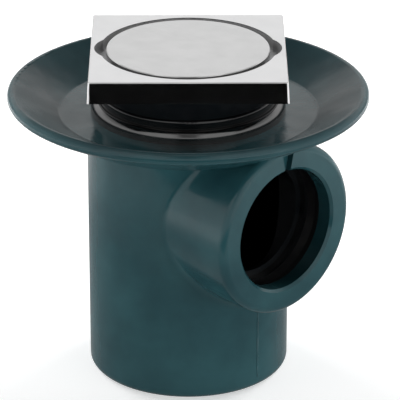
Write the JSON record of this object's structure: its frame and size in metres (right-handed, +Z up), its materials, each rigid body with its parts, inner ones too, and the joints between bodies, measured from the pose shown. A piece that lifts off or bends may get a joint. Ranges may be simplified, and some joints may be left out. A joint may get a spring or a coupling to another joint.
{
  "type": "floor drain",
  "caption": "Floor drain: round trap pot with a wide membrane dish and a side outlet socket, and a height-adjustable square chrome cover with a round lift-out lid.",
  "frame": {"origin": "middle of the pot's flat underside, on the pot's axis", "axes": "+X along the outlet, out of its mouth; +Z up the pot's axis to the cover; +Y completes the right-handed set"},
  "size_m": [0.224, 0.224, 0.2102],
  "materials": {
    "cast_coating": "gloss",
    "seal_rubber": "satin",
    "riser_plastic": "gloss",
    "insert_plastic": "satin",
    "frame_chrome": "polished",
    "lid_chrome": "satin"
  },
  "bodies": {
    "pot": {"trap_body": "cast_coating", "outlet_seal": "seal_rubber", "throat_seal": "seal_rubber"},
    "riser": {"riser_sleeve": "riser_plastic", "insert_gasket": "seal_rubber", "trap_insert": "insert_plastic"},
    "frame": {"cover_frame": "frame_chrome", "neck_collar": "riser_plastic", "spigot_ring": "riser_plastic", "neck_ring": "seal_rubber"},
    "lid": {"cover_lid": "lid_chrome"}
  },
  "joints": [
    {"name": "riser_height", "type": "slide", "parent": "pot", "child": "riser", "axis": [0, 0, 1], "range_m": [-0.011, 0.008]},
    {"name": "frame_swivel", "type": "hinge", "parent": "riser", "child": "frame", "pos_m": [0, 0, 0.1831], "axis": [0, 0, 1], "continuous": true},
    {"name": "lid_lift", "type": "slide", "parent": "frame", "child": "lid", "axis": [0, 0, 1], "range_m": [0, 0.05]}
  ]
}
